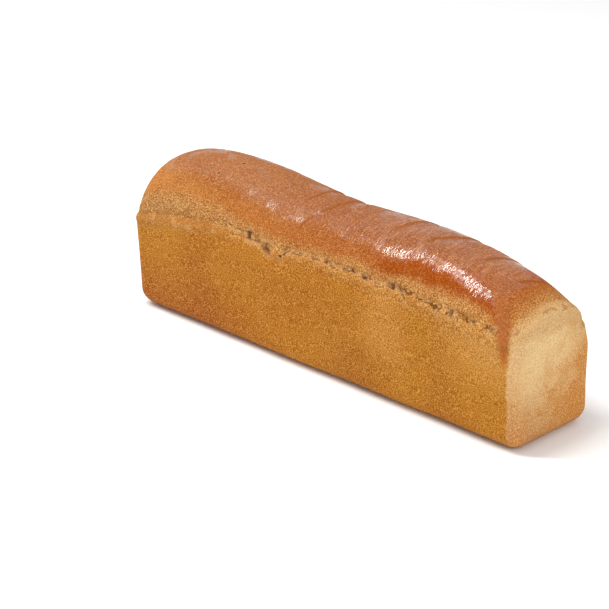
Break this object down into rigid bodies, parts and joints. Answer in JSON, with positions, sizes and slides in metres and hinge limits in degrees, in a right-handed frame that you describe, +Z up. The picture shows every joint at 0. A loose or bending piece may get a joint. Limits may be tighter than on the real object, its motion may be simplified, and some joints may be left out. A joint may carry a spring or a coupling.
{
  "type": "tin loaf",
  "caption": "Long uncut white loaf baked in an open tin, with flat sides and base and an arched, scored crown that has torn away from the walls; food for slicing.",
  "frame": {"origin": "middle of the flat base, on the surface the loaf stands on", "axes": "+X along the loaf towards the end where the crown slopes down, +Y across it, +Z up"},
  "size_m": [0.4042, 0.0932, 0.1357],
  "materials": {
    "crust": null
  },
  "bodies": {
    "root": {"loaf": "crust"}
  },
  "joints": []
}
